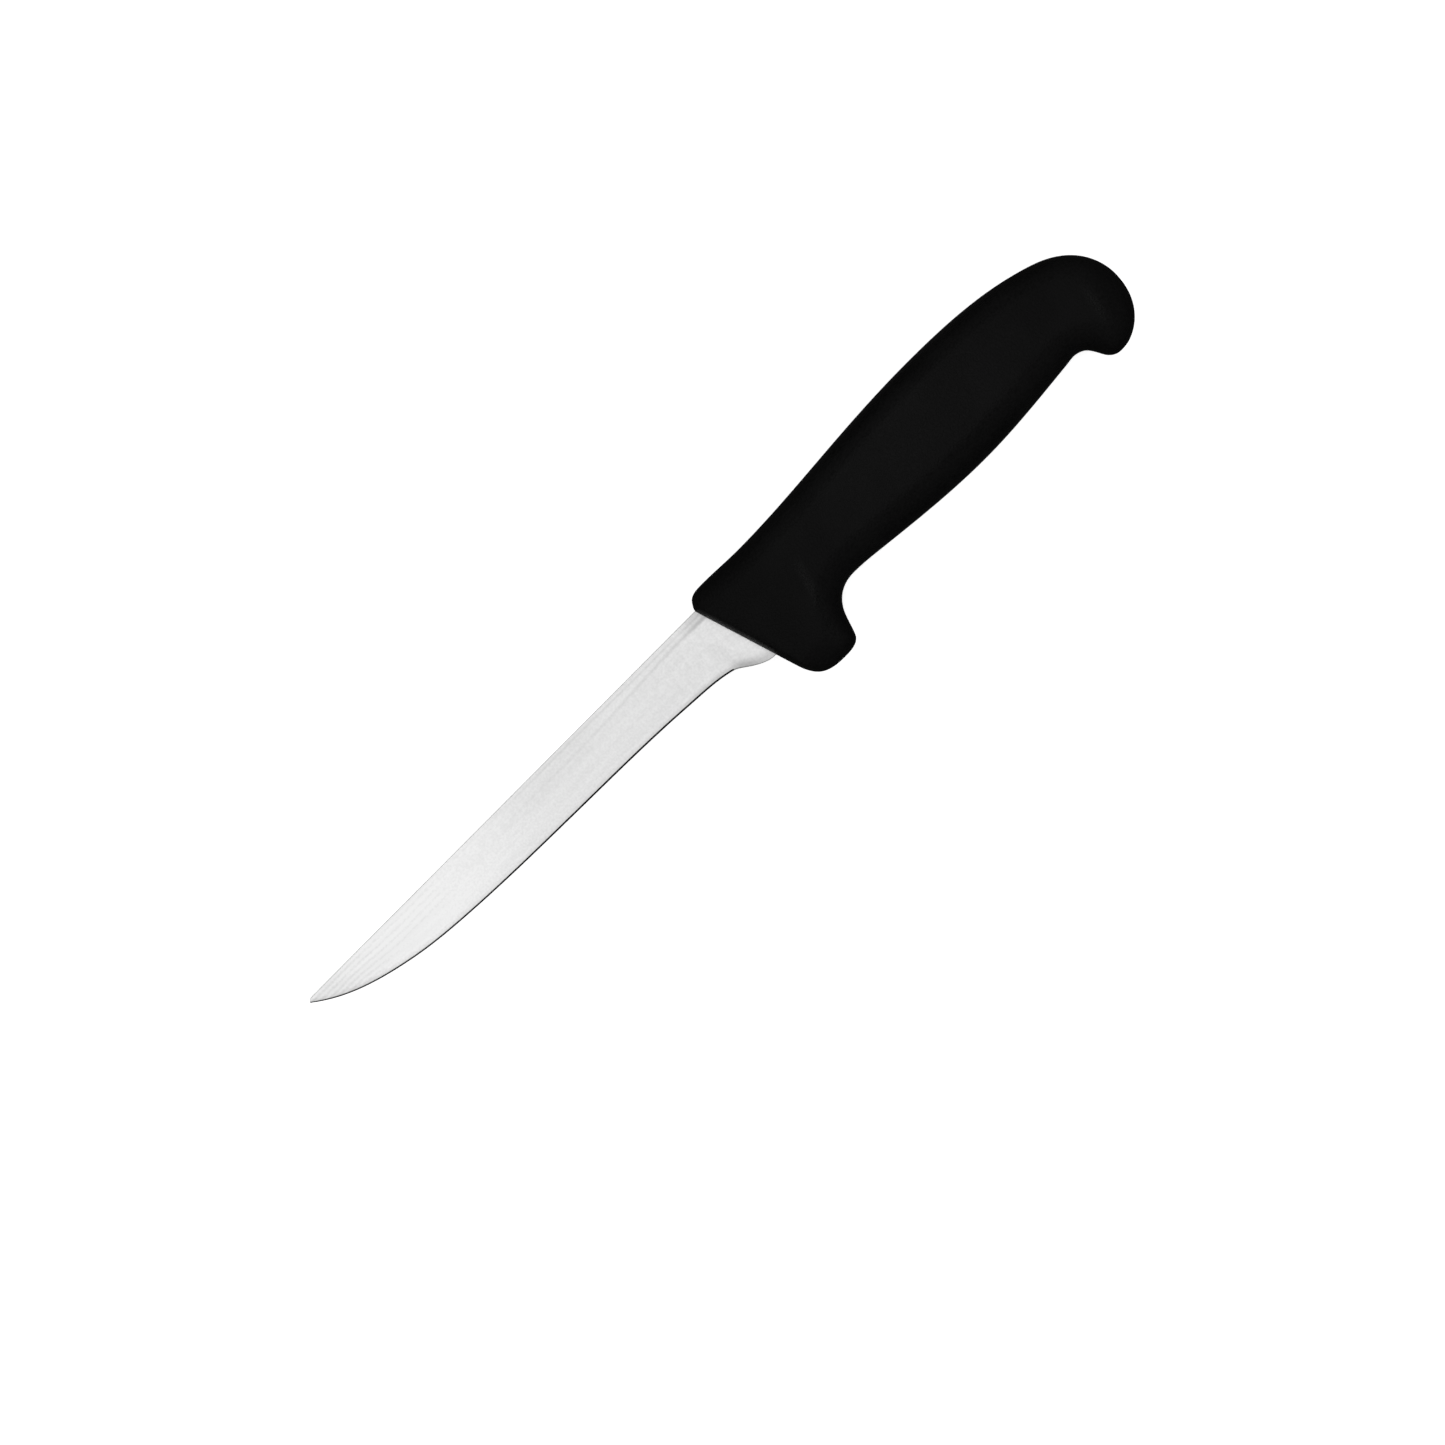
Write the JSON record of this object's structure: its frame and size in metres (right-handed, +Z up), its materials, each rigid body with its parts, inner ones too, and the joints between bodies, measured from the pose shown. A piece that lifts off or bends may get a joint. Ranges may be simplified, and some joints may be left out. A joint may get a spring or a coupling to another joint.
{
  "type": "boning knife",
  "caption": "Straight-backed boning knife with a narrow blade, a hidden pinned tang and a moulded handle with a finger guard and a hooked pommel.",
  "frame": {"origin": "middle of the bounding box at its base, with the knife lying on its side", "axes": "+X from the blade's tip to the pommel, +Y from the cutting edge to the spine, +Z up through the knife's thickness"},
  "size_m": [0.2966, 0.0448, 0.021],
  "materials": {
    "blade_steel": "satin, fine lengthwise belt grind, dark narrow ground edge",
    "core_plastic": "plain moulded polypropylene, hidden",
    "grip_plastic": "fine pebbled moulded texture, matt"
  },
  "bodies": {
    "root": {"blade": "blade_steel", "handle_core": "core_plastic", "handle_grip": "grip_plastic"}
  },
  "joints": []
}
